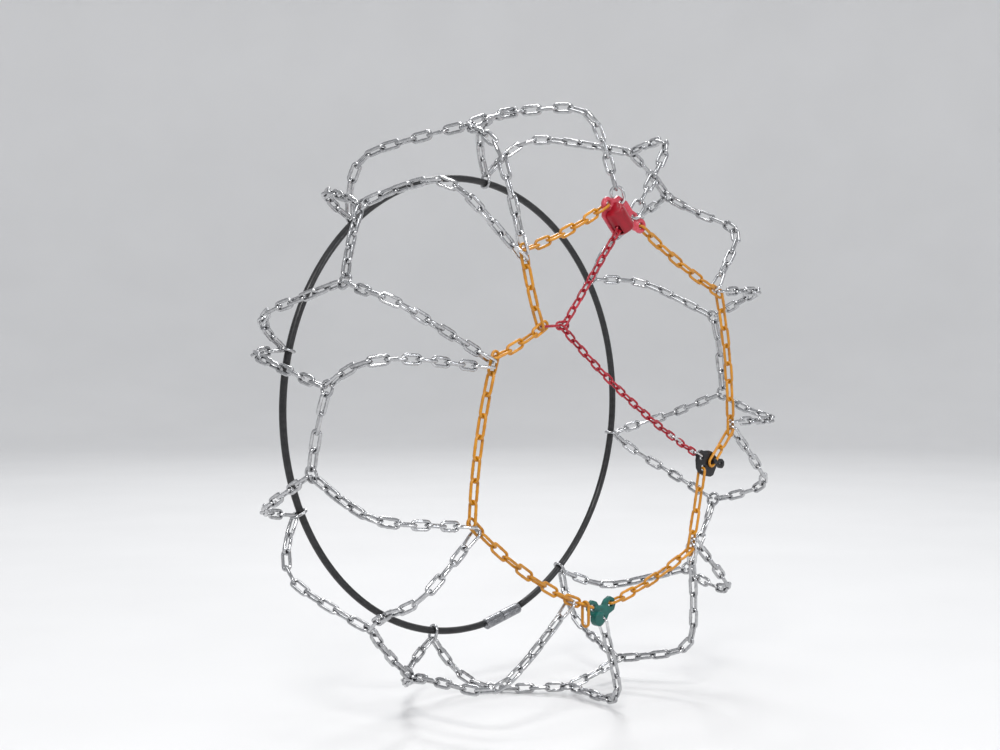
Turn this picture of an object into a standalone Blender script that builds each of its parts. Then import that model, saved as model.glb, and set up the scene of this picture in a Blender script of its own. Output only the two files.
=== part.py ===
"""Tyre snow chain set in the shape it has when closed round a wheel, in metres, +Z up.

The wheel axis is Y. The outer face of the wheel looks towards -Y and the origin is the centre of the
tyre. Angles run clockwise from the top as the outer face is seen, so +X is the right of that face.
"""

import math

import bmesh
import bpy
from mathutils import Vector

MM = 0.001

# The tyre that the set is closed on: tread radius and the standoff of a chain's centre line.
TREAD_RADIUS = 300.5 * MM
STANDOFF = 5.8 * MM
FACE_Y = -110.0 * MM
CABLE_Y = 101.0 * MM
CABLE_RADIUS = 246.0 * MM

# Meridian of the chain's centre line from tread to outer sidewall and to inner sidewall, as (y, radius).
OUTER_MERIDIAN = ((-66, 306.3), (-84, 304.6), (-96, 298.0), (-102.5, 285.0), (-107.0, 250.0))
INNER_MERIDIAN = ((60, 306.3), (76, 303.5), (88, 295.0), (96, 281.0), (100.0, 266.0))

# Tread rings: angle in degrees and distance from the middle of the tread in mm.
RINGS = {
    "d1a": (351.5, -28), "d1b": (26.0, -22),
    "d2a": (41.0, -20), "d2b": (71.5, -16),
    "d3a": (88.5, -18), "d3b": (112.0, -22),
    "d4a": (128.5, -20), "d4b": (156.0, -16),
    "d5a": (170.0, -6), "d5b": (210.0, 12),
    "d6a": (228.0, -10), "d6b": (260.5, -14),
    "d7a": (275.5, -41), "d7b": (294.5, -35),
    "d8a": (311.0, -3), "d8b": (337.5, -29),
}
# How far a front strand bows along the tyre between its two ends, in degrees, clockwise positive.
BOWS = {
    "d1a": 1.6, "d1b": 0.0, "d2a": 4.5, "d2b": 0.0, "d3a": 2.8, "d3b": 0.8, "d4a": 2.4, "d4b": 0.0,
    "d5a": -1.0, "d5b": 3.8, "d6a": 3.2, "d6b": -1.0, "d7a": 3.4, "d7b": -1.5, "d8a": 2.6, "d8b": -2.4,
}
REAR_ANGLES = (8.0, 56.0, 99.5, 141.5, 190.5, 246.0, 284.5, 321.0)

# Link sizes: pitch, half spacing of the two rails, rail radius, size of the end bar.
NET_LINK = {"pitch": 17.6 * MM, "rail": 4.35 * MM, "wire": 1.9 * MM, "bar": 2.3 * MM}
SIDE_LINK = {"pitch": 21.6 * MM, "rail": 4.6 * MM, "wire": 1.75 * MM, "bar": 2.1 * MM}
TENSION_LINK = {"pitch": 11.6 * MM, "rail": 3.5 * MM, "wire": 1.6 * MM, "bar": 1.6 * MM}
TIE_LINK = {"pitch": 12.0 * MM, "rail": 3.9 * MM, "wire": 1.6 * MM, "bar": 1.7 * MM}
SHACKLE = {"pitch": 22.0 * MM, "rail": 5.7 * MM, "wire": 2.1 * MM, "bar": 2.0 * MM}
SHORT_SHACKLE = 16.0 * MM
CORNER = 3.3 * MM

RING_RADIUS = 7.3 * MM
RING_WIRE = 1.7 * MM
LINK_IN_RING = 3.0 * MM
LINK_IN_LINK = 4.8 * MM

# Corners of the side chain in the face plane, as (x, z) in mm.
CORNER_B = (184, 120)
CORNER_C = (201, -32)
CORNER_D = (131, -156)
CORNER_E = (-62, -182)
CORNER_F = (-193, -95)
CORNER_G = (-158, 61)
CORNER_H = (-90, 88)
CORNER_A = (-122, 163)

TENSIONER_CENTRE = (23.5, 198)
TENSIONER_TILT = -21.0
BLACK_HOOK_CENTRE = (167, -63)
BLACK_HOOK_TILT = -32.7
GREEN_HOOK_CENTRE = (-11, -196)
TIE_POINT = (-60, 87)


def clear_scene():
    for obj in list(bpy.data.objects):
        bpy.data.objects.remove(obj, do_unlink=True)


def material(name, colour, roughness, metallic):
    made = bpy.data.materials.new(name)
    made.use_nodes = True
    shader = made.node_tree.nodes["Principled BSDF"]
    shader.inputs["Base Color"].default_value = (*colour, 1.0)
    shader.inputs["Roughness"].default_value = roughness
    shader.inputs["Metallic"].default_value = metallic
    return made


def mesh_object(name, verts, faces, mat, smooth=True):
    bm = bmesh.new()
    points = [bm.verts.new(v) for v in verts]
    for face in faces:
        bm.faces.new([points[i] for i in face])
    return finish_object(name, bm, mat, smooth)


def finish_object(name, bm, mat, smooth):
    bmesh.ops.recalc_face_normals(bm, faces=bm.faces)
    if bm.calc_volume(signed=True) < 0:
        bmesh.ops.reverse_faces(bm, faces=bm.faces)
    mesh = bpy.data.meshes.new(name)
    bm.to_mesh(mesh)
    bm.free()
    for polygon in mesh.polygons:
        polygon.use_smooth = smooth
    obj = bpy.data.objects.new(name, mesh)
    bpy.context.scene.collection.objects.link(obj)
    if mat is not None:
        mesh.materials.append(mat)
    return obj


def helper(obj):
    obj.hide_render = True
    obj.display_type = "WIRE"
    return obj


def boolean(obj, other, operation):
    modifier = obj.modifiers.new(operation.title(), "BOOLEAN")
    modifier.operation = operation
    modifier.solver = "EXACT"
    modifier.object = other
    helper(other)


def shift_origin(obj, origin):
    """Puts the object's origin at a point of the world and leaves its shape where it is."""
    moved = obj.matrix_basis.inverted() @ origin
    for vertex in obj.data.vertices:
        vertex.co -= moved
    obj.location = origin


def polar(angle, radius, y):
    a = math.radians(angle)
    return Vector((radius * math.sin(a), y, radius * math.cos(a)))


def in_face(point, y=FACE_Y):
    return Vector((point[0] * MM, y, point[1] * MM))


# ---- chains -------------------------------------------------------------------------------------


def chain_mesh(nodes, normals, rolls, links):
    """A run of links as one closed body: an end bar at each node and two rails for each link."""
    count = len(nodes) - 1
    verts = []
    faces = []
    tangents = [(nodes[k + 1] - nodes[k]).normalized() for k in range(count)]
    sides = []
    for k in range(count):
        t = tangents[k]
        n = (normals[k] - t * normals[k].dot(t)).normalized()
        b = t.cross(n)
        roll = math.radians(rolls[k])
        sides.append(n * math.cos(roll) + b * math.sin(roll))

    bars = []
    for k in range(count + 1):
        before = tangents[max(k - 1, 0)]
        after = tangents[min(k, count - 1)]
        t = (before + after).normalized()
        out = sides[k] if k < count else t.cross(sides[k - 1])
        back = sides[k - 1] if k > 0 else t.cross(sides[k])
        out = (out - t * out.dot(t)).normalized()
        back = (back - t * back.dot(t)).normalized()
        first = (out + back).normalized()
        second = (back - out).normalized()
        size = min(links[max(k - 1, 0)]["bar"], links[min(k, count - 1)]["bar"])
        base = len(verts)
        verts += [nodes[k] + first * size, nodes[k] - first * size]
        verts += [nodes[k] + second * size, nodes[k] - second * size]
        verts += [nodes[k] + t * size, nodes[k] - t * size]
        bars.append({key: base + i for i, key in enumerate(("+f", "-f", "+s", "-s", "+t", "-t"))})
        used = []
        if k < count:
            used += [("+f", "-s", "+t"), ("-f", "+s", "+t")]
        if k > 0:
            used += [("+f", "+s", "-t"), ("-f", "-s", "-t")]
        for f in ("+f", "-f"):
            for s in ("+s", "-s"):
                for e in ("+t", "-t"):
                    if (f, s, e) not in used:
                        faces.append([bars[k][f], bars[k][s], bars[k][e]])

    for k in range(count):
        t = tangents[k]
        link = links[k]
        for sign, start, end in (
            (1, ("+f", "-s", "+t"), ("+f", "+s", "-t")),
            (-1, ("-f", "+s", "+t"), ("-f", "-s", "-t")),
        ):
            side = sides[k] * sign
            across = t.cross(side)
            corner = min(CORNER, link["rail"])
            sections = []
            for centre in (nodes[k] + t * corner, nodes[k + 1] - t * corner):
                base = len(verts)
                at = centre + side * link["rail"]
                verts.append(at - side * link["wire"])
                verts.append(at + side * link["wire"] * 0.5 + across * link["wire"] * 0.866)
                verts.append(at + side * link["wire"] * 0.5 - across * link["wire"] * 0.866)
                sections.append([base, base + 1, base + 2])
            ends = []
            for bar, keys, at in ((bars[k], start, nodes[k]), (bars[k + 1], end, nodes[k + 1])):
                inner = bar[keys[2]]
                others = [bar[keys[0]], bar[keys[1]]]
                others.sort(key=lambda i: -(verts[i] - at).dot(across))
                ends.append([inner] + others)
            rings = [ends[0], sections[0], sections[1], ends[1]]
            for a, c in zip(rings, rings[1:]):
                for i in range(3):
                    j = (i + 1) % 3
                    faces.append([a[i], a[j], c[j], c[i]])
    return verts, faces


def twist(count, first, last):
    """Roll of each link: near 90 degrees from one link to the next, from one end's roll to the other's."""
    if count == 1:
        return [first]
    turn = (last - first) % 180
    while turn + 90 <= 90 * (count - 1):
        turn += 180
    return [first + turn * k / (count - 1) for k in range(count)]


def link_count(length, pitch, first, last):
    """The number of links that suits both the length of a run and the roll of its two ends."""
    best = None
    for count in range(1, int(length / pitch) + 3):
        stretch = abs(length / count / pitch - 1)
        rolls = twist(count, first, last)
        if count == 1:
            uneven = 0.0 if (last - first) % 180 == 0 else 9.0
        else:
            uneven = abs(abs(rolls[1] - rolls[0]) - 90) / 90
        score = stretch + uneven
        if best is None or score < best[0]:
            best = (score, count)
    return best[1]


def meridian(start, corners, end):
    """The path from a tread ring to its end as (y, radius) points a few millimetres apart."""
    rough = [start] + [(y * MM, r * MM) for y, r in corners] + [end]
    fine = []
    for a, b in zip(rough, rough[1:]):
        steps = max(2, int(math.hypot(b[0] - a[0], b[1] - a[1]) / (3 * MM)))
        for i in range(steps):
            fine.append((a[0] + (b[0] - a[0]) * i / steps, a[1] + (b[1] - a[1]) * i / steps))
    fine.append(rough[-1])
    for _ in range(6):
        inner = []
        for p, q, r in zip(fine, fine[1:], fine[2:]):
            inner.append(tuple((p[i] + 2 * q[i] + r[i]) / 4 for i in (0, 1)))
        fine = [fine[0]] + inner + [fine[-1]]
    return fine


def turn_along(path, constant):
    """Angle swept along a meridian path by the shortest line that keeps radius times sine constant."""
    angle = [0.0]
    for a, b in zip(path, path[1:]):
        radius = (a[1] + b[1]) / 2
        step = math.hypot(b[0] - a[0], b[1] - a[1])
        across = math.sqrt(radius * radius - constant * constant)
        angle.append(angle[-1] + constant * step / (radius * across))
    return angle


def tyre_path(ring, corners, end_angle, end_radius, end_y, bow=0.0):
    """Points and outward normals of a line over the tyre from a ring to its end point."""
    angle, y = RINGS[ring]
    path = meridian((y * MM, TREAD_RADIUS + STANDOFF), corners, (end_y, end_radius))
    sweep = math.radians((end_angle - angle + 180) % 360 - 180)
    low = 0.0
    high = min(r for _, r in path) * 0.97
    for _ in range(40):
        middle = (low + high) / 2
        if turn_along(path, middle)[-1] < abs(sweep):
            low = middle
        else:
            high = middle
    angles = turn_along(path, low)
    points = []
    normals = []
    for k, (py, radius) in enumerate(path):
        at = angle + math.degrees(angles[k]) * (1 if sweep > 0 else -1)
        at += bow * math.sin(math.pi * (k / (len(path) - 1)) ** 0.75)
        a = path[max(k - 1, 0)]
        b = path[min(k + 1, len(path) - 1)]
        slope = Vector((b[0] - a[0], b[1] - a[1])).normalized()
        outward = (abs(slope[0]), slope[1] * (-1 if slope[0] > 0 else 1))
        points.append(polar(at, radius, py))
        normals.append(polar(at, outward[0], outward[1]))
    return points, normals


def spaced(points, normals, gaps):
    """Points at the given distances one after the other along a path, and the normals between them."""
    length = [0.0]
    for a, b in zip(points, points[1:]):
        length.append(length[-1] + (b - a).length)

    def at(values, distance):
        k = 0
        while k < len(length) - 2 and length[k + 1] < distance:
            k += 1
        share = (distance - length[k]) / max(length[k + 1] - length[k], 1e-9)
        return values[k].lerp(values[k + 1], min(max(share, 0.0), 1.0))

    marks = [gaps[0]]
    for gap in gaps[1:]:
        marks.append(marks[-1] + gap)
    nodes = [at(points, mark) for mark in marks]
    between = [at(normals, (a + b) / 2) for a, b in zip(marks, marks[1:])]
    return nodes, between


def path_length(points):
    return sum((b - a).length for a, b in zip(points, points[1:]))


def bowed(start, end, bow):
    """Points from start to end that bow by a vector at the middle, as a slack chain hangs."""
    return [start.lerp(end, k / 24) + bow * 4 * (k / 24) * (1 - k / 24) for k in range(25)]


def face_run(start, end, link, first_roll, last_roll, bow=Vector((0, 0, 0))):
    """A run in or near the face plane; roll 0 has its rails one above the other off the face."""
    points = bowed(start, end, bow)
    length = path_length(points)
    count = link_count(length, link["pitch"], first_roll, last_roll)
    off_face = [Vector((0, -1, 0))] * len(points)
    nodes, normals = spaced(points, off_face, [0.0] + [length / count] * count)
    verts, faces = chain_mesh(nodes, normals, twist(count, first_roll, last_roll), [link] * count)
    return verts, faces, nodes


def torus(centre, axis, radius, wire, steps=10, sides=3):
    axis = axis.normalized()
    u = axis.orthogonal().normalized()
    v = axis.cross(u)
    verts = []
    faces = []
    for i in range(steps):
        a = 2 * math.pi * i / steps
        out = u * math.cos(a) + v * math.sin(a)
        for j in range(sides):
            b = 2 * math.pi * j / sides
            verts.append(centre + out * (radius + wire * math.cos(b)) + axis * wire * math.sin(b))
    for i in range(steps):
        for j in range(sides):
            k = (i + 1) % steps
            m = (j + 1) % sides
            faces.append([i * sides + j, i * sides + m, k * sides + m, k * sides + j])
    return verts, faces


# ---- cast and moulded pieces --------------------------------------------------------------------


def plate(name, outline, holes, thickness, mat):
    """A flat piece with holes, from loops in its own XZ plane, its front at -Y."""
    bm = bmesh.new()
    for loop in [outline] + holes:
        ring = [bm.verts.new((x * MM, 0, z * MM)) for x, z in loop]
        for a, b in zip(ring, ring[1:] + ring[:1]):
            bm.edges.new((a, b))
    bmesh.ops.triangle_fill(bm, use_beauty=True, use_dissolve=False, edges=bm.edges[:])
    grown = bmesh.ops.extrude_face_region(bm, geom=bm.faces[:])
    moved = [item for item in grown["geom"] if isinstance(item, bmesh.types.BMVert)]
    bmesh.ops.translate(bm, verts=moved, vec=(0, -thickness, 0))
    return finish_object(name, bm, mat, False)


def circle(x, z, radius, steps=10):
    angles = [2 * math.pi * (k + 0.5) / steps for k in range(steps)]
    return [(x + radius * math.cos(a), z + radius * math.sin(a)) for a in angles]


def lathe(centre, axis, profile, steps=12):
    """A closed profile of (distance along the axis, radius) turned round the axis."""
    axis = axis.normalized()
    u = axis.orthogonal().normalized()
    v = axis.cross(u)
    verts = []
    faces = []
    rows = []
    for along, radius in profile:
        if radius == 0:
            rows.append([len(verts)])
            verts.append(centre + axis * along)
            continue
        rows.append(list(range(len(verts), len(verts) + steps)))
        for k in range(steps):
            a = 2 * math.pi * k / steps
            verts.append(centre + axis * along + (u * math.cos(a) + v * math.sin(a)) * radius)
    for first, second in zip(rows, rows[1:]):
        for k in range(steps):
            m = (k + 1) % steps
            if len(first) == 1:
                faces.append([first[0], second[m], second[k]])
            elif len(second) == 1:
                faces.append([first[k], first[m], second[0]])
            else:
                faces.append([first[k], first[m], second[m], second[k]])
    return verts, faces


def place(obj, centre, tilt, y):
    obj.location = (centre[0] * MM, y, centre[1] * MM)
    obj.rotation_euler = (0, -math.radians(tilt), 0)


def on_piece(centre, tilt, x, z, y=FACE_Y):
    """The point of the world at (x, z) in mm on a piece placed at a centre and a tilt."""
    a = math.radians(tilt)
    right = x * math.cos(a) - z * math.sin(a)
    up = x * math.sin(a) + z * math.cos(a)
    return in_face((centre[0] + right, centre[1] + up), y)


# ---- build --------------------------------------------------------------------------------------

clear_scene()

STEEL = material("galvanised steel", (0.62, 0.62, 0.63), 0.28, 1.0)
ORANGE = material("orange enamel", (0.72, 0.30, 0.03), 0.35, 0.0)
RED = material("red enamel", (0.42, 0.01, 0.03), 0.30, 0.0)
RED_PLASTIC = material("red plastic", (0.55, 0.01, 0.04), 0.25, 0.0)
GREEN_PLASTIC = material("green plastic", (0.01, 0.17, 0.14), 0.40, 0.0)
BLACK_PLASTIC = material("black plastic", (0.03, 0.03, 0.035), 0.45, 0.0)
SHEATH = material("cable sheath", (0.05, 0.05, 0.055), 0.50, 0.0)

# Tensioner: a back plate with two end eyes and two upper eyes, and a ribbed half-barrel cover that lies
# askew across it.
PLATE_BACK_Y = -108.4 * MM
PLATE_THICK = 3.2 * MM
EYE_X = 26.5
EYE_ROUND = 7.0
UPPER_EYES = ((-9.5, 8.5), (13.0, 3.0))
COVER_CENTRE = (10.5, 193.5)
COVER_TILT = -45.0
COVER_LENGTH = 28.0
COVER_HALF = 11.5
COVER_DEPTH = 15.0
COVER_WALL = 2.2
COVER_Y = PLATE_BACK_Y - PLATE_THICK - 0.3 * MM


def arc(x, z, radius, first, last, steps):
    """Points of an arc from one angle to another in degrees, anticlockwise from +X when rising."""
    angles = [math.radians(first + (last - first) * k / steps) for k in range(steps + 1)]
    return [(x + radius * math.cos(a), z + radius * math.sin(a)) for a in angles]


def half_barrel(half, depth, rib=0.0):
    """Half an oval as (z, depth) points, with a low rib on every fourth one."""
    loop = []
    for k in range(17):
        a = math.radians(180 * k / 16)
        grow = rib if k % 4 == 2 else 0.0
        loop.append(((half + grow) * math.cos(a), (depth + grow) * math.sin(a)))
    return loop


def extruded(name, loop, x0, x1, mat):
    """A loop of (z, depth) points drawn out along the piece's X, depth going towards -Y."""
    verts = [Vector((x * MM, -depth * MM, z * MM)) for x in (x0, x1) for z, depth in loop]
    count = len(loop)
    faces = [list(range(count)), list(range(count, 2 * count))]
    faces += [[k, (k + 1) % count, (k + 1) % count + count, k + count] for k in range(count)]
    return mesh_object(name, verts, faces, mat, False)


plate_outline = arc(EYE_X, 0, EYE_ROUND, -60, 60, 4)
plate_outline += [(19.5, 8.0), (16.0, 9.5), (9.5, 9.5), (-1.5, 14.5), (-16.0, 14.5), (-20.5, 9.0)]
plate_outline += arc(-EYE_X, 0, EYE_ROUND, 120, 210, 3)
plate_outline += [(-29.2, -14.0), (-3.2, -25.6), (7.6, -5.0), (19.5, -8.0)]
plate_holes = [circle(x, z, 3.6) for x, z in ((EYE_X, 0), (-EYE_X, 0)) + UPPER_EYES]
back_plate = plate("tensioner_plate", plate_outline, plate_holes, PLATE_THICK, RED_PLASTIC)
place(back_plate, TENSIONER_CENTRE, TENSIONER_TILT, PLATE_BACK_Y)

barrel = half_barrel(COVER_HALF, COVER_DEPTH, 0.5)
inside = half_barrel(COVER_HALF - COVER_WALL, COVER_DEPTH - COVER_WALL)
inside = [(COVER_HALF - COVER_WALL, -2.0)] + inside + [(COVER_WALL - COVER_HALF, -2.0)]
mouth_loop = [(-13.5, -2.0), (-2.5, -2.0), (-2.5, 12.4), (-13.5, 12.4)]
cover = extruded("tensioner_cover", barrel, -COVER_LENGTH / 2, COVER_LENGTH / 2, RED_PLASTIC)
hollow = extruded("cover_hollow", inside, 2 - COVER_LENGTH / 2, COVER_LENGTH / 2 - 2, None)
mouth = extruded("cover_mouth", mouth_loop, -1.2, 12.2, None)
for piece in (cover, hollow, mouth):
    place(piece, COVER_CENTRE, COVER_TILT, COVER_Y)
boolean(cover, hollow, "DIFFERENCE")
boolean(cover, mouth, "DIFFERENCE")
for piece in (back_plate, cover):
    shift_origin(piece, in_face(TENSIONER_CENTRE))

# Black tension hook: a plate with an eye for each side-chain end and for the tab, and a thumb eye.
hook_outline = [(-20, -5.5), (-14.5, -12.5), (-9, -14.6), (-1, -14), (9.5, -9.5), (12.5, -6), (12.5, 6.5)]
hook_outline += [(11, 8), (18.5, 6.3), (22.6, 8.2), (23.8, 12.4), (21.4, 16.3), (16.9, 16.9), (12.2, 14.5)]
hook_outline += [(5.8, 13.6)]
hook_outline += [(-3.0, 14.6), (-9.0, 12.6), (-15.5, 8.3), (-20, 7.2), (-22.6, 1.6)]
HOOK_PEG = (1.0, 5.2)
HOOK_LOW = (-6.8, -7.6)
HOOK_TAB = (-15.6, 0.9)
black_hook = plate(
    "black_hook",
    hook_outline,
    [circle(*HOOK_LOW, 3.6), circle(*HOOK_TAB, 3.4), circle(17.5, 11.6, 2.2, 8)],
    3.6 * MM,
    BLACK_PLASTIC,
)
HOOK_Y = FACE_Y + 5.6 * MM
HOOK_MIDDLE_Y = HOOK_Y - 1.8 * MM
place(black_hook, BLACK_HOOK_CENTRE, BLACK_HOOK_TILT, HOOK_Y)
peg_profile = [(1.0, 0), (1.0, 2.1), (7.6, 2.1), (8.2, 3.0), (9.6, 3.0), (10.4, 2.0), (10.4, 0)]
verts, faces = lathe(
    on_piece(BLACK_HOOK_CENTRE, BLACK_HOOK_TILT, *HOOK_PEG, HOOK_Y),
    Vector((0, -1, 0)),
    [(a * MM, r * MM) for a, r in peg_profile],
    8,
)
boolean(black_hook, mesh_object("hook_peg", verts, faces, None), "UNION")
shift_origin(black_hook, on_piece(BLACK_HOOK_CENTRE, BLACK_HOOK_TILT, *HOOK_PEG))

# Green closing hook: a plate with a left arm, a right arm and a lower eye, and a claw lobe in front.
green_outline = [(-19.5, -1.0), (-16.0, -6.5), (-9.5, -9.0), (-6.5, -15.0), (0.5, -18.0), (8.0, -15.0)]
green_outline += [(11.5, -8.5), (19.5, -5.0), (21.8, 1.0), (19.0, 7.0), (13.0, 9.6), (6.5, 6.6), (2.5, 1.5)]
green_outline += [(-3.5, 1.5), (-7.0, 6.0), (-13.0, 8.2), (-18.0, 5.0)]
GREEN_LEFT = (-12.6, 0.6)
GREEN_RIGHT = (13.8, 2.0)
GREEN_LOW = (1.6, -10.6)
green_hook = plate(
    "green_hook",
    green_outline,
    [circle(*GREEN_LEFT, 3.6), circle(*GREEN_RIGHT, 3.6), circle(*GREEN_LOW, 3.7)],
    3.6 * MM,
    GREEN_PLASTIC,
)
lobe = plate("hook_lobe", circle(-6.5, -11.0, 7.4, 12), [], 7.0 * MM, None)
lobe_cut = plate("hook_lobe_cut", circle(*GREEN_LOW, 3.7), [], 9.0 * MM, None)
GREEN_Y = FACE_Y + 1.8 * MM
place(green_hook, GREEN_HOOK_CENTRE, 0.0, GREEN_Y)
place(lobe, GREEN_HOOK_CENTRE, 0.0, GREEN_Y - 1.0 * MM)
place(lobe_cut, GREEN_HOOK_CENTRE, 0.0, GREEN_Y + 0.5 * MM)
boolean(green_hook, lobe, "UNION")
boolean(green_hook, lobe_cut, "DIFFERENCE")
shift_origin(green_hook, on_piece(GREEN_HOOK_CENTRE, 0.0, *GREEN_LEFT))

# Side chain: straight runs from corner to corner, each hanging in the last link of the one before.
tension_left = on_piece(TENSIONER_CENTRE, TENSIONER_TILT, -EYE_X, 0)
tension_right = on_piece(TENSIONER_CENTRE, TENSIONER_TILT, EYE_X, 0)
hook_peg = on_piece(BLACK_HOOK_CENTRE, BLACK_HOOK_TILT, *HOOK_PEG)
hook_low = on_piece(BLACK_HOOK_CENTRE, BLACK_HOOK_TILT, *HOOK_LOW, HOOK_MIDDLE_Y)
green_right = on_piece(GREEN_HOOK_CENTRE, 0.0, *GREEN_RIGHT)
green_left = on_piece(GREEN_HOOK_CENTRE, 0.0, *GREEN_LEFT)

hook_peg_end = hook_peg + (hook_peg - in_face(CORNER_C)).normalized() * LINK_IN_LINK
# Each run: its start where it doesn't hang in the run before, its end, what it ends in, and its bow.
SIDE_RUNS = (
    ("side_run_01", tension_right, in_face(CORNER_B), "corner", (0, -4)),
    ("side_run_02", None, in_face(CORNER_C), "corner", (6, 0)),
    ("side_run_03", None, hook_peg_end, "corner", (0, 0)),
    ("side_run_04", hook_low, in_face(CORNER_D), "corner", (1, 0)),
    ("side_run_05", None, green_right, "eye", (0, -5)),
    ("side_run_06", green_left, in_face(CORNER_E), "corner", (0, 0)),
    ("side_run_07", None, in_face(CORNER_F), "corner", (-3, -6)),
    ("side_run_08", None, in_face(CORNER_G), "corner", (-6, 0)),
    ("side_run_09", None, in_face(CORNER_H), "corner", (1, -2)),
    ("side_run_10", None, in_face(CORNER_A), "corner", (-2, -1)),
    ("side_run_11", None, tension_left, "eye", (1, -4)),
)
TIED_RUN = "side_run_09"
last_links = {}
start = None
for name, given, end, kind, bow in SIDE_RUNS:
    begin = given if given is not None else start
    bend = Vector((bow[0] * MM, 0, bow[1] * MM))
    verts, faces, nodes = face_run(begin, end, SIDE_LINK, 0.0, 0.0 if kind == "eye" else 90.0, bend)
    mesh_object(name, verts, faces, ORANGE)
    last_links[name] = (nodes[-2], nodes[-1])
    last = nodes[-1] - nodes[-2]
    start = nodes[-1] - last * 0.44 if name == TIED_RUN else nodes[-1] - last.normalized() * LINK_IN_LINK


def corner_seat(run, share):
    """A point in the opening of a run's last link, at a share of the link from its inner end."""
    return last_links[run][0].lerp(last_links[run][1], share)


# The net: a strand from every ring to the side chain, to the tensioner or to the green hook.
FRONT_SEATS = {
    "d1a": on_piece(TENSIONER_CENTRE, TENSIONER_TILT, *UPPER_EYES[0]),
    "d1b": on_piece(TENSIONER_CENTRE, TENSIONER_TILT, *UPPER_EYES[1]),
    "d2a": corner_seat("side_run_01", 0.28), "d2b": corner_seat("side_run_01", 0.53),
    "d3a": corner_seat("side_run_02", 0.28), "d3b": corner_seat("side_run_02", 0.53),
    "d4a": corner_seat("side_run_04", 0.28), "d4b": corner_seat("side_run_04", 0.53),
    "d5a": on_piece(GREEN_HOOK_CENTRE, 0.0, *GREEN_LOW),
    "d5b": corner_seat("side_run_06", 0.52),
    "d6a": corner_seat("side_run_07", 0.28), "d6b": corner_seat("side_run_07", 0.53),
    "d7a": corner_seat("side_run_08", 0.28), "d7b": corner_seat("side_run_08", 0.53),
    "d8a": corner_seat("side_run_10", 0.28), "d8b": corner_seat("side_run_10", 0.50),
}
for ring, seat in FRONT_SEATS.items():
    angle = math.degrees(math.atan2(seat.x, seat.z))
    radius = math.hypot(seat.x, seat.z)
    points, normals = tyre_path(ring, OUTER_MERIDIAN, angle, radius, seat.y, BOWS[ring])
    last_pitch = SHORT_SHACKLE if ring == "d1a" else SHACKLE["pitch"]
    rest = path_length(points) - LINK_IN_RING - last_pitch
    count = round(rest / NET_LINK["pitch"])
    nodes, between = spaced(points, normals, [LINK_IN_RING] + [rest / count] * count + [last_pitch])
    nodes[-1] = seat.copy()
    between[-1] = Vector((0, -1, 0))
    verts, faces = chain_mesh(nodes, between, twist(count + 1, 0.0, 0.0), [NET_LINK] * count + [SHACKLE])
    shift_origin(mesh_object("front_" + ring, verts, faces, STEEL), seat)

# Centre strands join the diamonds along the tread; each carries the ring at either end.
ring_names = list(RINGS)
for k in range(8):
    first = ring_names[(2 * k + 1) % 16]
    second = ring_names[(2 * k + 2) % 16]
    a0, y0 = RINGS[first]
    a1, y1 = RINGS[second]
    sweep = (a1 - a0) % 360
    reach = TREAD_RADIUS + STANDOFF
    points = [polar(a0 + sweep * i / 30, reach, (y0 + (y1 - y0) * i / 30) * MM) for i in range(31)]
    normals = [polar(a0 + sweep * i / 30, 1.0, 0.0) for i in range(31)]
    rest = path_length(points) - 2 * RING_RADIUS
    count = round(rest / NET_LINK["pitch"])
    nodes, between = spaced(points, normals, [RING_RADIUS] + [rest / count] * count)
    verts, faces = chain_mesh(nodes, between, twist(count, 0.0, 0.0), [NET_LINK] * count)
    strand = mesh_object("centre_" + first + "_" + second, verts, faces, STEEL)
    for end, ring in ((0, first), (1, second)):
        angle, y = RINGS[ring]
        verts, faces = torus(polar(angle, reach, y * MM), polar(angle, 1.0, 0.0), RING_RADIUS, RING_WIRE)
        boolean(strand, mesh_object("ring_" + ring, verts, faces, None), "UNION")

# Inner side: a sheathed cable hoop with a two-part clasp, and a hook for each pair of rear strands.
CLASP_ANGLE = 166.0
HOOP_GAP = 13.6
CABLE_WIRE = 3.8 * MM
steps = 54
sides = 6
verts = []
faces = []
for i in range(steps + 1):
    angle = CLASP_ANGLE + HOOP_GAP / 2 + (360 - HOOP_GAP) * i / steps
    for j in range(sides):
        a = 2 * math.pi * j / sides
        reach = CABLE_RADIUS + CABLE_WIRE * math.cos(a)
        verts.append(polar(angle, reach, CABLE_Y + CABLE_WIRE * math.sin(a)))
for i in range(steps):
    for j in range(sides):
        m = (j + 1) % sides
        faces.append([i * sides + j, i * sides + m, (i + 1) * sides + m, (i + 1) * sides + j])
faces += [list(range(sides)), list(range(steps * sides, (steps + 1) * sides))]
mesh_object("cable_hoop", verts, faces, SHEATH)

clasp_centre = polar(CLASP_ANGLE, CABLE_RADIUS, CABLE_Y)
along = polar(CLASP_ANGLE + 90, 1.0, 0.0)
socket = [(-27, 0), (-27, 5.0), (-25.5, 6.2), (0.0, 6.2), (1.0, 5.6), (1.0, 3.3), (-12.5, 3.3), (-12.5, 0)]
plug = [(-11.0, 0), (-11.0, 2.9), (1.4, 2.9), (1.4, 5.0), (2.4, 6.2), (25.5, 6.2), (27, 5.0), (27, 0)]
for name, profile in (("cable_clasp_socket", socket), ("cable_clasp_plug", plug)):
    verts, faces = lathe(clasp_centre, along, [(a * MM, r * MM) for a, r in profile], 10)
    mesh_object(name, verts, faces, STEEL)

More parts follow.
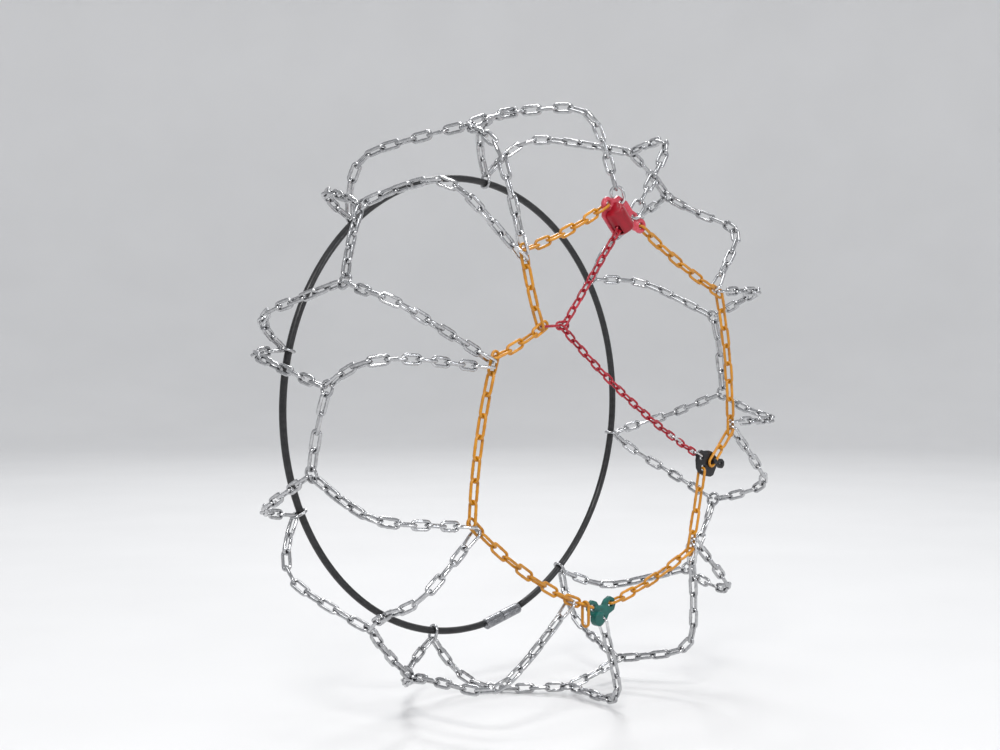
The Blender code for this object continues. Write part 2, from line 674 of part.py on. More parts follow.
for k, angle in enumerate(REAR_ANGLES):
    eye = polar(angle, CABLE_RADIUS, CABLE_Y)
    tangent = polar(angle + 90, 1.0, 0.0)
    verts, faces = torus(eye, tangent, 6.4 * MM, 1.9 * MM)
    hook = mesh_object("rear_d%d" % (k + 1), verts, faces, STEEL)
    for ring, lean in (("d%da" % (k + 1), -1), ("d%db" % (k + 1), 1)):
        seat_angle = angle + lean * math.degrees(1.2 * MM / CABLE_RADIUS)
        seat_radius = CABLE_RADIUS + 6.9 * MM
        points, normals = tyre_path(ring, INNER_MERIDIAN, seat_angle, seat_radius, CABLE_Y - 0.6 * MM)
        rest = path_length(points) - LINK_IN_RING
        count = round(rest / NET_LINK["pitch"])
        nodes, between = spaced(points, normals, [LINK_IN_RING] + [rest / count] * count)
        verts, faces = chain_mesh(nodes, between, twist(count, 0.0, 0.0), [NET_LINK] * count)
        boolean(hook, mesh_object("rear_strand_" + ring, verts, faces, None), "UNION")

# Red tension chain: from the tensioner to the tie, and from the tie across the wheel to the black hook.
tie_start = in_face(TIE_POINT)
tied = last_links[TIED_RUN]
tie_end = tied[1] - (tied[1] - tied[0]).normalized() * LINK_IN_LINK
tie_direction = (tie_end - tie_start).normalized()
TIE_EYE = 14.0 * MM
tie_nodes = [tie_start, tie_start + tie_direction * TIE_EYE, tie_end]
verts, faces = chain_mesh(tie_nodes, [Vector((0, -1, 0))] * 2, twist(2, 90.0, 0.0), [TIE_LINK] * 2)
mesh_object("tension_tie", verts, faces, RED)
upper_end = tie_start + tie_direction * TIE_EYE * 0.34
lower_start = tie_start + tie_direction * TIE_EYE * 0.66
upper_start = on_piece(COVER_CENTRE, COVER_TILT, 4.2, -1.5, COVER_Y - 6.4 * MM)
verts, faces, _ = face_run(upper_start, upper_end, TENSION_LINK, 90.0, 0.0)
mesh_object("tension_upper", verts, faces, RED)

# The lower leg sags between the tie and the black hook: red links, a steel link, two red links, the tab.
tab_seat = on_piece(BLACK_HOOK_CENTRE, BLACK_HOOK_TILT, *HOOK_TAB, HOOK_MIDDLE_Y)
leg = bowed(lower_start, tab_seat, Vector((0, 0, -10.0 * MM)))
leg_normals = [Vector((0, -1, 0))] * len(leg)
leg_length = path_length(leg)
IN_LINK = 3.7 * MM
TAB = {**TENSION_LINK, "pitch": 14.0 * MM, "rail": 4.7 * MM}
CONNECTOR = {**TENSION_LINK, "pitch": 14.0 * MM, "rail": 3.9 * MM}
END_LINKS = 3
tab_at = leg_length - TAB["pitch"]
end_at = tab_at + IN_LINK - END_LINKS * TENSION_LINK["pitch"]
connector_at = end_at + IN_LINK - CONNECTOR["pitch"]
lower_length = connector_at + IN_LINK
lower_count = link_count(lower_length, TENSION_LINK["pitch"], 0.0, 90.0)
LEG = (
    ("tension_lower", 0.0, lower_count, lower_length / lower_count, TENSION_LINK, 0.0, 90.0, RED),
    ("tension_connector", connector_at, 1, CONNECTOR["pitch"], CONNECTOR, 0.0, 0.0, STEEL),
    ("tension_end", end_at, END_LINKS, TENSION_LINK["pitch"], TENSION_LINK, 90.0, 90.0, RED),
    ("hook_tab", tab_at, 1, TAB["pitch"], TAB, 0.0, 0.0, STEEL),
)
for name, begin, count, pitch, link, first_roll, last_roll, mat in LEG:
    nodes, normals = spaced(leg, leg_normals, [begin] + [pitch] * count)
    verts, faces = chain_mesh(nodes, normals, twist(count, first_roll, last_roll), [link] * count)
    shift_origin(mesh_object(name, verts, faces, mat), lower_start)

# Spare link at the end of the side chain, hanging from the first link beside the green hook.
beside = green_left.lerp(last_links["side_run_06"][0], 0.75)
spare_top = beside + Vector((0, -SIDE_LINK["rail"], 4.4 * MM))
spare_end = spare_top - Vector((0, 0, 24.0 * MM))
verts, faces = chain_mesh([spare_top, spare_end], [Vector((0, -1, 0))], [0.0], [SIDE_LINK])
shift_origin(mesh_object("spare_link", verts, faces, ORANGE), beside + Vector((0, -SIDE_LINK["rail"], 0)))
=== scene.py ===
"""The look of the tyre snow chain set: every link, ring, shackle and moulded piece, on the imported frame.

Metres, +Z up, wheel axis Y, outer face towards -Y. Each chain follows the same route as its CAD node.
"""

import math
import random

import bmesh
import bpy
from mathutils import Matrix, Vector


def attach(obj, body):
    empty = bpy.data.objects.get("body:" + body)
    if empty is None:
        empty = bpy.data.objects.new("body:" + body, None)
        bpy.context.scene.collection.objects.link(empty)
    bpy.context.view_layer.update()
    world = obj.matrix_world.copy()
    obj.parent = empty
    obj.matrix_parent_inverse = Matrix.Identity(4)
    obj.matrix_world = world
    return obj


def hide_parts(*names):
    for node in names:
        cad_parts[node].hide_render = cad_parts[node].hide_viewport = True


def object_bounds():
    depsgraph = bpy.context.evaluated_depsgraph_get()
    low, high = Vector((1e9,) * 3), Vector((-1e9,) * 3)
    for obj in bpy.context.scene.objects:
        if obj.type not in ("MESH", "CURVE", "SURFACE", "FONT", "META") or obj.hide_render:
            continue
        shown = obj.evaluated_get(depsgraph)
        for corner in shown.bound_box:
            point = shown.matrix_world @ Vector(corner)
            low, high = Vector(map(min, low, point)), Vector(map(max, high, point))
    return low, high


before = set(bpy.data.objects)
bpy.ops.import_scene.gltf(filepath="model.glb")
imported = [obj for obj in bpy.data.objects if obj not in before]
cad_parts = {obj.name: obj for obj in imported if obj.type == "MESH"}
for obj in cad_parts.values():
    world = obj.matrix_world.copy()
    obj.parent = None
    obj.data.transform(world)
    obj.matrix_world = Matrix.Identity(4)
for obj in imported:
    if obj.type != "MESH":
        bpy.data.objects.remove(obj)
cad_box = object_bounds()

MM = 0.001

# The tyre that the set is closed on: tread radius and the standoff of a chain's centre line.
TREAD_RADIUS = 300.5 * MM
STANDOFF = 5.8 * MM
FACE_Y = -110.0 * MM
CABLE_Y = 101.0 * MM
CABLE_RADIUS = 246.0 * MM

# Meridian of the chain's centre line from tread to outer sidewall and to inner sidewall, as (y, radius).
OUTER_MERIDIAN = ((-66, 306.3), (-84, 304.6), (-96, 298.0), (-102.5, 285.0), (-107.0, 250.0))
INNER_MERIDIAN = ((60, 306.3), (76, 303.5), (88, 295.0), (96, 281.0), (100.0, 266.0))

# Tread rings: angle in degrees and distance from the middle of the tread in mm.
RINGS = {
    "d1a": (351.5, -28), "d1b": (26.0, -22),
    "d2a": (41.0, -20), "d2b": (71.5, -16),
    "d3a": (88.5, -18), "d3b": (112.0, -22),
    "d4a": (128.5, -20), "d4b": (156.0, -16),
    "d5a": (170.0, -6), "d5b": (210.0, 12),
    "d6a": (228.0, -10), "d6b": (260.5, -14),
    "d7a": (275.5, -41), "d7b": (294.5, -35),
    "d8a": (311.0, -3), "d8b": (337.5, -29),
}
# How far a front strand bows along the tyre between its two ends, in degrees, clockwise positive.
BOWS = {
    "d1a": 1.6, "d1b": 0.0, "d2a": 4.5, "d2b": 0.0, "d3a": 2.8, "d3b": 0.8, "d4a": 2.4, "d4b": 0.0,
    "d5a": -1.0, "d5b": 3.8, "d6a": 3.2, "d6b": -1.0, "d7a": 3.4, "d7b": -1.5, "d8a": 2.6, "d8b": -2.4,
}
REAR_ANGLES = (8.0, 56.0, 99.5, 141.5, 190.5, 246.0, 284.5, 321.0)

# Shackle pitch at the side chain and at the tensioner, and how far links reach into rings and each other.
SHACKLE_PITCH = 22.0 * MM
SHORT_SHACKLE = 16.0 * MM
RING_RADIUS = 7.3 * MM
LINK_IN_RING = 3.0 * MM
LINK_IN_LINK = 4.8 * MM

# Corners of the side chain in the face plane, as (x, z) in mm.
CORNER_B = (184, 120)
CORNER_C = (201, -32)
CORNER_D = (131, -156)
CORNER_E = (-62, -182)
CORNER_F = (-193, -95)
CORNER_G = (-158, 61)
CORNER_H = (-90, 88)
CORNER_A = (-122, 163)

TENSIONER_CENTRE = (23.5, 198)
TENSIONER_TILT = -21.0
BLACK_HOOK_CENTRE = (167, -63)
BLACK_HOOK_TILT = -32.7
GREEN_HOOK_CENTRE = (-11, -196)
TIE_POINT = (-60, 87)


def polar(angle, radius, y):
    a = math.radians(angle)
    return Vector((radius * math.sin(a), y, radius * math.cos(a)))


def in_face(point, y=FACE_Y):
    return Vector((point[0] * MM, y, point[1] * MM))


def twist(count, first, last):
    """Roll of each link: near 90 degrees from one link to the next, from one end's roll to the other's."""
    if count == 1:
        return [first]
    turn = (last - first) % 180
    while turn + 90 <= 90 * (count - 1):
        turn += 180
    return [first + turn * k / (count - 1) for k in range(count)]


def link_count(length, pitch, first, last):
    """The number of links that suits both the length of a run and the roll of its two ends."""
    best = None
    for count in range(1, int(length / pitch) + 3):
        stretch = abs(length / count / pitch - 1)
        rolls = twist(count, first, last)
        if count == 1:
            uneven = 0.0 if (last - first) % 180 == 0 else 9.0
        else:
            uneven = abs(abs(rolls[1] - rolls[0]) - 90) / 90
        score = stretch + uneven
        if best is None or score < best[0]:
            best = (score, count)
    return best[1]


def meridian(start, corners, end):
    """The path from a tread ring to its end as (y, radius) points a few millimetres apart."""
    rough = [start] + [(y * MM, r * MM) for y, r in corners] + [end]
    fine = []
    for a, b in zip(rough, rough[1:]):
        steps = max(2, int(math.hypot(b[0] - a[0], b[1] - a[1]) / (3 * MM)))
        for i in range(steps):
            fine.append((a[0] + (b[0] - a[0]) * i / steps, a[1] + (b[1] - a[1]) * i / steps))
    fine.append(rough[-1])
    for _ in range(6):
        inner = []
        for p, q, r in zip(fine, fine[1:], fine[2:]):
            inner.append(tuple((p[i] + 2 * q[i] + r[i]) / 4 for i in (0, 1)))
        fine = [fine[0]] + inner + [fine[-1]]
    return fine


def turn_along(path, constant):
    """Angle swept along a meridian path by the shortest line that keeps radius times sine constant."""
    angle = [0.0]
    for a, b in zip(path, path[1:]):
        radius = (a[1] + b[1]) / 2
        step = math.hypot(b[0] - a[0], b[1] - a[1])
        across = math.sqrt(radius * radius - constant * constant)
        angle.append(angle[-1] + constant * step / (radius * across))
    return angle


def tyre_path(ring, corners, end_angle, end_radius, end_y, bow=0.0):
    """Points and outward normals of a line over the tyre from a ring to its end point."""
    angle, y = RINGS[ring]
    path = meridian((y * MM, TREAD_RADIUS + STANDOFF), corners, (end_y, end_radius))
    sweep = math.radians((end_angle - angle + 180) % 360 - 180)
    low = 0.0
    high = min(r for _, r in path) * 0.97
    for _ in range(40):
        middle = (low + high) / 2
        if turn_along(path, middle)[-1] < abs(sweep):
            low = middle
        else:
            high = middle
    angles = turn_along(path, low)
    points = []
    normals = []
    for k, (py, radius) in enumerate(path):
        at = angle + math.degrees(angles[k]) * (1 if sweep > 0 else -1)
        at += bow * math.sin(math.pi * (k / (len(path) - 1)) ** 0.75)
        a = path[max(k - 1, 0)]
        b = path[min(k + 1, len(path) - 1)]
        slope = Vector((b[0] - a[0], b[1] - a[1])).normalized()
        outward = (abs(slope[0]), slope[1] * (-1 if slope[0] > 0 else 1))
        points.append(polar(at, radius, py))
        normals.append(polar(at, outward[0], outward[1]))
    return points, normals


def spaced(points, normals, gaps):
    """Points at the given distances one after the other along a path, and the normals between them."""
    length = [0.0]
    for a, b in zip(points, points[1:]):
        length.append(length[-1] + (b - a).length)

    def at(values, distance):
        k = 0
        while k < len(length) - 2 and length[k + 1] < distance:
            k += 1
        share = (distance - length[k]) / max(length[k + 1] - length[k], 1e-9)
        return values[k].lerp(values[k + 1], min(max(share, 0.0), 1.0))

    marks = [gaps[0]]
    for gap in gaps[1:]:
        marks.append(marks[-1] + gap)
    nodes = [at(points, mark) for mark in marks]
    between = [at(normals, (a + b) / 2) for a, b in zip(marks, marks[1:])]
    return nodes, between


def path_length(points):
    return sum((b - a).length for a, b in zip(points, points[1:]))


def bowed(start, end, bow):
    """Points from start to end that bow by a vector at the middle, as a slack chain hangs."""
    return [start.lerp(end, k / 24) + bow * 4 * (k / 24) * (1 - k / 24) for k in range(25)]


def on_piece(centre, tilt, x, z, y=FACE_Y):
    """The point of the world at (x, z) in mm on a piece placed at a centre and a tilt."""
    a = math.radians(tilt)
    right = x * math.cos(a) - z * math.sin(a)
    up = x * math.sin(a) + z * math.cos(a)
    return in_face((centre[0] + right, centre[1] + up), y)


# ---- sizes of the pieces that show --------------------------------------------------------------

# Pitch (inside length), half width between wire centres, wire radius.
NET_LOOK = (17.6 * MM, 3.8 * MM, 1.72 * MM)
SIDE_LOOK = (21.6 * MM, 4.15 * MM, 1.5 * MM)
TENSION_LOOK = (11.6 * MM, 3.2 * MM, 1.12 * MM)
TIE_LOOK = (14.0 * MM, 3.5 * MM, 1.3 * MM)
CONNECTOR_LOOK = (14.0 * MM, 3.4 * MM, 1.25 * MM)
TAB_LOOK = (14.0 * MM, 4.0 * MM, 1.2 * MM)
# Radius between wire centres and wire radius.
RING_LOOK = (7.35 * MM, 1.55 * MM)
SHACKLE_WIRE = 1.62 * MM
SIDE_WIRE = SIDE_LOOK[2]
RING_INNER = RING_LOOK[0] - RING_LOOK[1]

dice = random.Random(7)


# ---- materials ----------------------------------------------------------------------------------


class Nodes:
    """A small helper that adds and links shader nodes."""

    def __init__(self, name):
        self.mat = bpy.data.materials.new(name)
        self.mat.use_nodes = True
        self.tree = self.mat.node_tree
        self.shader = self.tree.nodes["Principled BSDF"]

    def add(self, kind, **values):
        node = self.tree.nodes.new(kind)
        for key, value in values.items():
            if hasattr(node, key):
                setattr(node, key, value)
            else:
                node.inputs[key.replace("_", " ")].default_value = value
        return node

    def link(self, out, into):
        self.tree.links.new(out, into)

    def set(self, **values):
        for key, value in values.items():
            self.shader.inputs[key.replace("_", " ")].default_value = value

    def noise(self, scale, detail=4.0, roughness=0.55, stretch=None):
        coords = self.add("ShaderNodeTexCoord")
        out = coords.outputs["Object"]
        if stretch is not None:
            mapping = self.add("ShaderNodeMapping")
            mapping.inputs["Scale"].default_value = stretch
            self.link(out, mapping.inputs["Vector"])
            out = mapping.outputs["Vector"]
        tex = self.add("ShaderNodeTexNoise")
        tex.inputs["Scale"].default_value = scale
        tex.inputs["Detail"].default_value = detail
        tex.inputs["Roughness"].default_value = roughness
        self.link(out, tex.inputs["Vector"])
        return tex.outputs["Fac"]

    def attribute(self, name):
        node = self.add("ShaderNodeAttribute", attribute_name=name)
        return node.outputs["Fac"]

    def ramp(self, factor, stops):
        node = self.add("ShaderNodeValToRGB")
        elements = node.color_ramp.elements
        while len(elements) < len(stops):
            elements.new(0.5)
        for element, (place, colour) in zip(elements, stops):
            element.position = place
            element.color = (*colour, 1.0)
        self.link(factor, node.inputs["Fac"])
        return node.outputs["Color"]

    def mix(self, factor, a, b, blend="MIX"):
        node = self.add("ShaderNodeMix", data_type="RGBA", blend_type=blend)
        for value, into in ((factor, node.inputs[0]), (a, node.inputs[6]), (b, node.inputs[7])):
            if hasattr(value, "links"):
                self.link(value, into)
            else:
                into.default_value = value
        return node.outputs[2]

    def maths(self, operation, a, b):
        node = self.add("ShaderNodeMath", operation=operation)
        for value, into in ((a, node.inputs[0]), (b, node.inputs[1])):
            if hasattr(value, "links"):
                self.link(value, into)
            else:
                into.default_value = value
        return node.outputs[0]

    def span(self, factor, low, high):
        node = self.add("ShaderNodeMapRange")
        node.inputs["To Min"].default_value = low
        node.inputs["To Max"].default_value = high
        self.link(factor, node.inputs["Value"])
        return node.outputs["Result"]

    def toned(self, colour, low, high):
        """The colour made a little darker or lighter by each link's own tone."""
        tone = self.span(self.attribute("tone"), low, high)
        shade = self.add("ShaderNodeCombineColor")
        for channel in range(3):
            self.link(tone, shade.inputs[channel])
        return self.mix(1.0, colour, shade.outputs["Color"], "MULTIPLY")

    def bump(self, height, strength, distance):
        node = self.add("ShaderNodeBump")
        node.inputs["Strength"].default_value = strength
        node.inputs["Distance"].default_value = distance
        self.link(height, node.inputs["Height"])
        self.link(node.outputs["Normal"], self.shader.inputs["Normal"])


def metal(name, dark, light, rough_low, rough_high, scratch):
    """Zinc-coated steel: soft spangle, fine scratches, duller where links rub, and darker there with
    painted shade.
    """
    m = Nodes(name)
    cloud = m.noise(260.0, 3.0, 0.6)
    fine = m.noise(1900.0, 5.0, 0.7)
    colour = m.toned(m.ramp(cloud, ((0.30, dark), (0.72, light))), 0.86, 1.06)
    # Painted shade: darker where links meet, on the same mask that makes those spots duller as real wear.
    worn_and_shaded = m.maths("MULTIPLY", m.attribute("wear_and_shade"), m.span(fine, 0.25, 0.95))
    colour = m.mix(worn_and_shaded, colour, tuple(0.42 * c for c in dark) + (1.0,))
    m.link(colour, m.shader.inputs["Base Color"])
    rough = m.span(m.noise(700.0, 4.0, 0.65), rough_low, rough_high)
    m.link(m.maths("ADD", rough, m.maths("MULTIPLY", worn_and_shaded, 0.16)), m.shader.inputs["Roughness"])
    m.set(Metallic=1.0)
    grain = m.maths("ADD", m.maths("MULTIPLY", cloud, 0.7), m.maths("MULTIPLY", fine, 0.5))
    m.bump(grain, scratch, 0.00012)
    return m.mat


def enamel(name, deep, bright, bare, rough, coat):
    """Enamelled links: slightly uneven gloss coat, rubbed to bare metal where links meet and darkened there
    with painted shade.
    """
    m = Nodes(name)
    cloud = m.noise(150.0, 3.0, 0.5)
    fine = m.noise(1500.0, 5.0, 0.65)
    colour = m.toned(m.ramp(cloud, ((0.28, deep), (0.70, bright))), 0.88, 1.08)
    # Where links meet the enamel turns to the darker bare colour: rubbed wear, and painted shade in the
    # hollows.
    worn_and_shaded = m.maths("MULTIPLY", m.attribute("wear_and_shade"), m.span(fine, -0.35, 1.25))
    edge = m.add("ShaderNodeMapRange", interpolation_type="SMOOTHSTEP")
    edge.inputs["From Min"].default_value = 0.30
    edge.inputs["From Max"].default_value = 0.60
    edge.inputs["To Max"].default_value = 0.75
    m.link(worn_and_shaded, edge.inputs["Value"])
    m.link(m.mix(edge.outputs["Result"], colour, (*bare, 1.0)), m.shader.inputs["Base Color"])
    m.link(m.span(fine, rough - 0.06, rough + 0.14), m.shader.inputs["Roughness"])
    m.set(Coat_Weight=coat, Coat_Roughness=0.12, Specular_IOR_Level=0.40)
    m.bump(m.noise(420.0, 3.0, 0.5), 0.25, 0.00018)
    return m.mat


def plastic(name, deep, bright, rough, coat, grain, depth):
    """Moulded plastic: faint flow marks, a fine moulded grain and scuffs."""
    m = Nodes(name)
    flow = m.noise(60.0, 3.0, 0.5, (1.0, 2.5, 4.0))
    fine = m.noise(grain, 4.0, 0.6)
    colour = m.ramp(flow, ((0.30, deep), (0.70, bright)))
    scuff = m.ramp(m.noise(900.0, 8.0, 0.75), ((0.66, (0.0, 0.0, 0.0)), (0.80, (1.0, 1.0, 1.0))))
    pale = tuple(min(1.0, c * 1.4 + 0.10) for c in bright) + (1.0,)
    faint = m.mix(0.14, (0.0, 0.0, 0.0, 1.0), scuff)
    m.link(m.mix(faint, colour, pale), m.shader.inputs["Base Color"])
    m.link(m.span(m.noise(500.0, 4.0, 0.6), rough - 0.06, rough + 0.10), m.shader.inputs["Roughness"])
    m.set(Coat_Weight=coat, Coat_Roughness=0.08, Specular_IOR_Level=0.32)
    m.bump(fine, 0.30, depth)
    return m.mat


STEEL = metal("net_steel", (0.36, 0.363, 0.375), (0.60, 0.605, 0.615), 0.11, 0.24, 0.35)
RING_STEEL = metal("ring_steel", (0.32, 0.323, 0.335), (0.54, 0.545, 0.555), 0.12, 0.25, 0.35)
BRIGHT_STEEL = metal("shackle_steel", (0.46, 0.463, 0.475), (0.70, 0.705, 0.715), 0.08, 0.18, 0.25)
TURNED_STEEL = metal("turned_steel", (0.26, 0.265, 0.28), (0.42, 0.425, 0.44), 0.20, 0.34, 0.30)
ORANGE = enamel("orange_enamel", (0.46, 0.175, 0.004), (0.62, 0.265, 0.010), (0.26, 0.15, 0.07), 0.30, 0.25)
RED = enamel("red_enamel", (0.24, 0.002, 0.010), (0.44, 0.005, 0.022), (0.15, 0.07, 0.07), 0.30, 0.22)
RED_PLASTIC = plastic(
    "red_plastic", (0.235, 0.0012, 0.009), (0.35, 0.002, 0.016), 0.32, 0.15, 2600.0, 0.00004
)
# A lighter, pinker copy of the red plastic for the tensioner's eyes and plate: a painted highlight.
LIT_RED_PLASTIC = plastic("lit_red_plastic", (0.46, 0.035, 0.060), (0.60, 0.080, 0.11), 0.26, 0.30, 2600.0, 0.00004)
GREEN_PLASTIC = plastic(
    "green_plastic", (0.002, 0.070, 0.060), (0.006, 0.130, 0.108), 0.36, 0.20, 3000.0, 0.00006
)
BLACK_PLASTIC = plastic(
    "black_plastic", (0.006, 0.006, 0.007), (0.014, 0.014, 0.016), 0.40, 0.10, 3000.0, 0.00006
)
SHEATH = plastic("cable_sheath", (0.009, 0.009, 0.010), (0.022, 0.022, 0.024), 0.38, 0.15, 1200.0, 0.00008)


# ---- links, rings and loops ---------------------------------------------------------------------


class Loops:
    """Closed wire loops gathered in one mesh, with each point's wear and painted shade, and a tone for each
    loop.
    """

    def __init__(self):
        self.verts = []
        self.faces = []
        self.wear_and_shade = []
        self.tone = []

    def sweep(self, points, outward, normal, radii, wear_and_shade, sides=8, closed=True):
        """Wire along points; outward holds each point's direction away from the loop's middle."""
        tone = dice.random()
        first = len(self.verts)
        count = len(points)
        for k in range(count):
            for j in range(sides):
                a = 2 * math.pi * j / sides
                spread = outward[k] * math.cos(a) + normal * math.sin(a)
                self.verts.append(points[k] + spread * radii[k])
                # Wear and painted shade sit on the inner side of the wire, where the next link touches.
                self.wear_and_shade.append(wear_and_shade[k] * max(0.0, -math.cos(a)))
                self.tone.append(tone)
        last = count if closed else count - 1
        for k in range(last):
            n = (k + 1) % count
            for j in range(sides):
                m = (j + 1) % sides
                a, b = first + k * sides, first + n * sides
                self.faces.append((a + j, a + m, b + m, b + j))
        if not closed:
            self.faces.append(tuple(first + j for j in range(sides)))
            self.faces.append(tuple(first + (count - 1) * sides + j for j in reversed(range(sides))))

    def link(self, a, b, side, half_a, half_b, wire, weld=True, steps=7, sides=8):
        """A link between the wire centres a and b of its two round ends, opening across side."""
        t = (b - a).normalized()
        side = (side - t * side.dot(t)).normalized()
        normal = t.cross(side)
        length = (b - a).length
        tilt = math.asin(max(-0.9, min(0.9, (half_b - half_a) / (length - half_a - half_b))))
        centres = ((b - t * half_b, half_b, 1), (a + t * half_a, half_a, -1))
        points, outward, radii, wear_and_shade = [], [], [], []
        for centre, half, way in centres:
            reach = math.pi / 2 + tilt * way
            for k in range(steps + 1):
                angle = -reach + 2 * reach * k / steps
                out = t * way * math.cos(angle) + side * way * math.sin(angle)
                points.append(centre + out * half)
                outward.append(out)
                radii.append(wire)
                # Wear and painted shade grow towards each round end, where links meet.
                wear_and_shade.append(max(0.0, math.cos(angle)) ** 1.5)
            if way == 1:
                p, q = points[-1], centres[1][0] + (side * math.cos(tilt) + t * -math.sin(tilt)) * half_a
                out = (side * math.cos(tilt) - t * math.sin(tilt)).normalized()
                for share, grow in ((0.38, 1.0), (0.46, 1.10), (0.54, 1.10), (0.62, 1.0)) if weld else ():
                    points.append(p.lerp(q, share))
                    outward.append(out)
                    radii.append(wire * grow)
                    wear_and_shade.append(0.0)
        self.sweep(points, outward, normal, radii, wear_and_shade, sides)

    def ring(self, centre, axis, radius, wire, steps=28, sides=10):
        axis = axis.normalized()
        u = axis.orthogonal().normalized()
        v = axis.cross(u)
        outward = []
        for k in range(steps):
            a = 2 * math.pi * k / steps
            outward.append(u * math.cos(a) + v * math.sin(a))
        points = [centre + out * radius for out in outward]
        # A ring is worn and darkened with painted shade all round the inner side of its wire.
        self.sweep(points, outward, axis, [wire] * steps, [0.6] * steps, sides)

    def make(self, name, mat, body, slot, *stands_for):
        mesh = bpy.data.meshes.new(name)
        mesh.from_pydata([v[:] for v in self.verts], [], self.faces)
        for key, values in (("wear_and_shade", self.wear_and_shade), ("tone", self.tone)):
            mesh.attributes.new(key, "FLOAT", "POINT").data.foreach_set("value", values)
        return show(name, mesh, mat, body, slot, *stands_for)


def show(name, mesh, mat, body, slot, *stands_for):
    """Puts a finished mesh in the scene as a piece that rides on a body."""
    bm = bmesh.new()
    bm.from_mesh(mesh)
    bmesh.ops.recalc_face_normals(bm, faces=bm.faces)
    bm.to_mesh(mesh)
    bm.free()
    for polygon in mesh.polygons:
        polygon.use_smooth = True
    mesh.materials.append(mat)
    obj = bpy.data.objects.new(name, mesh)
    bpy.context.scene.collection.objects.link(obj)
    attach(obj, body)
    if stands_for:
        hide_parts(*stands_for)
    return obj


def width_sides(nodes, normals, rolls):
    """The direction across each link: its normal turned by its roll about the chain."""
    made = []
    for k in range(len(nodes) - 1):
        t = (nodes[k + 1] - nodes[k]).normalized()
        n = (normals[k] - t * normals[k].dot(t)).normalized()
        roll = math.radians(rolls[k])
        made.append(n * math.cos(roll) + t.cross(n) * math.sin(roll))
    return made


def add_links(loops, nodes, normals, rolls, half, wire):
    """Links whose ends meet at the nodes: each reaches one wire radius past its own two nodes."""
    for k, side in enumerate(width_sides(nodes, normals, rolls)):
        t = (nodes[k + 1] - nodes[k]).normalized()
        loops.link(nodes[k] - t * wire, nodes[k + 1] + t * wire, side, half, half, wire)


# ---- side chain ---------------------------------------------------------------------------------

EYE_X = 26.5
UPPER_EYES = ((-9.5, 8.5), (13.0, 3.0))
HOOK_PEG = (1.0, 5.2)
HOOK_LOW = (-6.8, -7.6)
HOOK_TAB = (-15.6, 0.9)
HOOK_MIDDLE_Y = FACE_Y + 3.8 * MM
GREEN_LEFT = (-12.6, 0.6)
GREEN_RIGHT = (13.8, 2.0)
GREEN_LOW = (1.6, -10.6)
COVER_Y = -108.4 * MM - 3.5 * MM
COVER_CENTRE = (10.5, 193.5)
COVER_TILT = -45.0

tension_left = on_piece(TENSIONER_CENTRE, TENSIONER_TILT, -EYE_X, 0)
tension_right = on_piece(TENSIONER_CENTRE, TENSIONER_TILT, EYE_X, 0)
hook_peg = on_piece(BLACK_HOOK_CENTRE, BLACK_HOOK_TILT, *HOOK_PEG)
hook_low = on_piece(BLACK_HOOK_CENTRE, BLACK_HOOK_TILT, *HOOK_LOW, HOOK_MIDDLE_Y)
green_right = on_piece(GREEN_HOOK_CENTRE, 0.0, *GREEN_RIGHT)
green_left = on_piece(GREEN_HOOK_CENTRE, 0.0, *GREEN_LEFT)
hook_peg_end = hook_peg + (hook_peg - in_face(CORNER_C)).normalized() * LINK_IN_LINK

SIDE_RUNS = (
    ("side_run_01", tension_right, in_face(CORNER_B), "corner", (0, -4)),
    ("side_run_02", None, in_face(CORNER_C), "corner", (6, 0)),
    ("side_run_03", None, hook_peg_end, "corner", (0, 0)),
    ("side_run_04", hook_low, in_face(CORNER_D), "corner", (1, 0)),
    ("side_run_05", None, green_right, "eye", (0, -5)),
    ("side_run_06", green_left, in_face(CORNER_E), "corner", (0, 0)),
    ("side_run_07", None, in_face(CORNER_F), "corner", (-3, -6)),
    ("side_run_08", None, in_face(CORNER_G), "corner", (-6, 0)),
    ("side_run_09", None, in_face(CORNER_H), "corner", (1, -2)),
    ("side_run_10", None, in_face(CORNER_A), "corner", (-2, -1)),
    ("side_run_11", None, tension_left, "eye", (1, -4)),
)
# Run 10 hooks into the last link of this run at a share of its length, beside the red tie.
TIED_RUN = "side_run_09"
TIED_SHARE = 0.44
last_links = {}
start = None
for name, given, end, kind, bow in SIDE_RUNS:
    begin = given if given is not None else start
    bend = Vector((bow[0] * MM, 0, bow[1] * MM))
    last_roll = 0.0 if kind == "eye" else 90.0
    points = bowed(begin, end, bend)
    length = path_length(points)
    count = link_count(length, SIDE_LOOK[0], 0.0, last_roll)
    off_face = [Vector((0, -1, 0))] * len(points)
    nodes, normals = spaced(points, off_face, [0.0] + [length / count] * count)
    last = nodes[-1] - nodes[-2]
    last_links[name] = (nodes[-2].copy(), nodes[-1].copy())
    inset = last * TIED_SHARE if name == TIED_RUN else last.normalized() * LINK_IN_LINK
    start = nodes[-1] - inset
    # The end link meets its eye, or the link before it, wire against wire.
    pull = (nodes[1] - nodes[0]).normalized()
    if given is not None:
        nodes[0] = nodes[0] + pull * SIDE_WIRE
    elif name != "side_run_10":
        nodes[0] = nodes[0] - pull * (LINK_IN_LINK - 2.4 * SIDE_WIRE)
    if kind == "eye":
        nodes[-1] = nodes[-1] - last.normalized() * SIDE_WIRE
    run = Loops()
    add_links(run, nodes, normals, twist(count, 0.0, last_roll), SIDE_LOOK[1], SIDE_WIRE)
    run.make("links_" + name, ORANGE, "chain_set", "orange_enamel", name)


def corner_seat(run, share):
    """A point in the opening of a run's last link, at a share of the link from its inner end."""
    return last_links[run][0].lerp(last_links[run][1], share)


# ---- net ----------------------------------------------------------------------------------------

